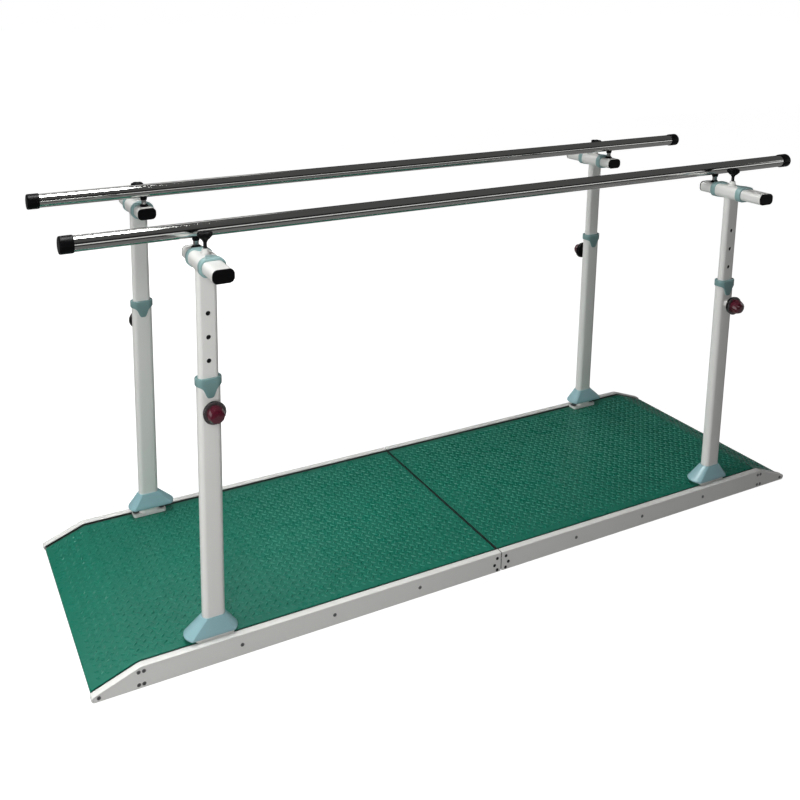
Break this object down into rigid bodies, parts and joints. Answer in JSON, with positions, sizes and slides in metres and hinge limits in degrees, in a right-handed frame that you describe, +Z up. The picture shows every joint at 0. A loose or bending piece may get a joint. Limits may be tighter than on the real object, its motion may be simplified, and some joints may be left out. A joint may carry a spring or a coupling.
{
  "type": "walking parallel bars",
  "caption": "Adjustable therapy parallel bars: ramped tread platform, telescoping side posts with pull pins and cross sleeves, and two long polished handrails.",
  "frame": {"origin": "on the floor under the middle of the platform", "axes": "+X along the walking direction, +Z up"},
  "size_m": [2.0066, 0.722, 0.942],
  "materials": {
    "white_paint": "gloss white powder coat, slightly warm",
    "green_tread": "green tread sheet with small raised lozenges",
    "board_ply": "plain plywood, hidden under the tread",
    "zinc_plate": "bright zinc plating",
    "teal_plastic": "pale blue-green moulded plastic, satin",
    "black_plastic": "black moulded plastic, satin",
    "pin_plastic": "black disc with a dark red translucent grip",
    "polished_steel": "polished stainless steel tube"
  },
  "bodies": {
    "platform": {"left_tread_mat": "green_tread", "left_deck_board": "board_ply", "right_tread_mat": "green_tread", "right_deck_board": "board_ply", "near_left_edge_rail": "white_paint", "near_right_edge_rail": "white_paint", "far_left_edge_rail": "white_paint", "far_right_edge_rail": "white_paint", "near_tie_plate": "zinc_plate", "far_tie_plate": "zinc_plate", "near_left_outer_tube": "white_paint", "near_left_foot_cover": "teal_plastic", "near_left_post_collar": "teal_plastic", "near_right_outer_tube": "white_paint", "near_right_foot_cover": "teal_plastic", "near_right_post_collar": "teal_plastic", "far_left_outer_tube": "white_paint", "far_left_foot_cover": "teal_plastic", "far_left_post_collar": "teal_plastic", "far_right_outer_tube": "white_paint", "far_right_foot_cover": "teal_plastic", "far_right_post_collar": "teal_plastic"},
    "near_lift": {"near_left_sliding_head": "white_paint", "near_left_outboard_sleeve_collar": "teal_plastic", "near_left_inboard_sleeve_collar": "teal_plastic", "near_right_sliding_head": "white_paint", "near_right_outboard_sleeve_collar": "teal_plastic", "near_right_inboard_sleeve_collar": "teal_plastic"},
    "near_slide": {"near_handrail": "polished_steel", "near_left_slide_tube": "white_paint", "near_left_outboard_end_plug": "black_plastic", "near_left_inboard_end_plug": "black_plastic", "near_left_rail_cap": "black_plastic", "near_right_slide_tube": "white_paint", "near_right_outboard_end_plug": "black_plastic", "near_right_inboard_end_plug": "black_plastic", "near_right_rail_cap": "black_plastic"},
    "near_left_pin": {"near_left_pull_pin": "pin_plastic"},
    "near_left_clamp": {"near_left_clamp_knob": "black_plastic"},
    "near_right_pin": {"near_right_pull_pin": "pin_plastic"},
    "near_right_clamp": {"near_right_clamp_knob": "black_plastic"},
    "far_lift": {"far_left_sliding_head": "white_paint", "far_left_outboard_sleeve_collar": "teal_plastic", "far_left_inboard_sleeve_collar": "teal_plastic", "far_right_sliding_head": "white_paint", "far_right_outboard_sleeve_collar": "teal_plastic", "far_right_inboard_sleeve_collar": "teal_plastic"},
    "far_slide": {"far_handrail": "polished_steel", "far_left_slide_tube": "white_paint", "far_left_outboard_end_plug": "black_plastic", "far_left_inboard_end_plug": "black_plastic", "far_left_rail_cap": "black_plastic", "far_right_slide_tube": "white_paint", "far_right_outboard_end_plug": "black_plastic", "far_right_inboard_end_plug": "black_plastic", "far_right_rail_cap": "black_plastic"},
    "far_left_pin": {"far_left_pull_pin": "pin_plastic"},
    "far_left_clamp": {"far_left_clamp_knob": "black_plastic"},
    "far_right_pin": {"far_right_pull_pin": "pin_plastic"},
    "far_right_clamp": {"far_right_clamp_knob": "black_plastic"}
  },
  "joints": [
    {"name": "near_height", "type": "slide", "parent": "platform", "child": "near_lift", "axis": [0, 0, 1], "range_m": [-0.2, 0.15]},
    {"name": "near_width", "type": "slide", "parent": "near_lift", "child": "near_slide", "axis": [0, 1, 0], "range_m": [0, 0.05]},
    {"name": "near_left_pin_travel", "type": "slide", "parent": "platform", "child": "near_left_pin", "axis": [0, 1, 0], "range_m": [0, 0.0055]},
    {"name": "near_left_clamp_turn", "type": "hinge", "parent": "near_lift", "child": "near_left_clamp", "pos_m": [-0.73, -0.255, 0.905], "axis": [0, 0, 1], "range_deg": [0, 360]},
    {"name": "near_right_pin_travel", "type": "slide", "parent": "platform", "child": "near_right_pin", "axis": [0, 1, 0], "range_m": [0, 0.0055]},
    {"name": "near_right_clamp_turn", "type": "hinge", "parent": "near_lift", "child": "near_right_clamp", "pos_m": [0.73, -0.255, 0.905], "axis": [0, 0, 1], "range_deg": [0, 360]},
    {"name": "far_height", "type": "slide", "parent": "platform", "child": "far_lift", "axis": [0, 0, 1], "range_m": [-0.2, 0.15]},
    {"name": "far_width", "type": "slide", "parent": "far_lift", "child": "far_slide", "axis": [0, -1, 0], "range_m": [0, 0.05]},
    {"name": "far_left_pin_travel", "type": "slide", "parent": "platform", "child": "far_left_pin", "axis": [0, -1, 0], "range_m": [0, 0.0055]},
    {"name": "far_left_clamp_turn", "type": "hinge", "parent": "far_lift", "child": "far_left_clamp", "pos_m": [-0.73, 0.255, 0.905], "axis": [0, 0, 1], "range_deg": [0, 360]},
    {"name": "far_right_pin_travel", "type": "slide", "parent": "platform", "child": "far_right_pin", "axis": [0, -1, 0], "range_m": [0, 0.0055]},
    {"name": "far_right_clamp_turn", "type": "hinge", "parent": "far_lift", "child": "far_right_clamp", "pos_m": [0.73, 0.255, 0.905], "axis": [0, 0, 1], "range_deg": [0, 360]}
  ]
}
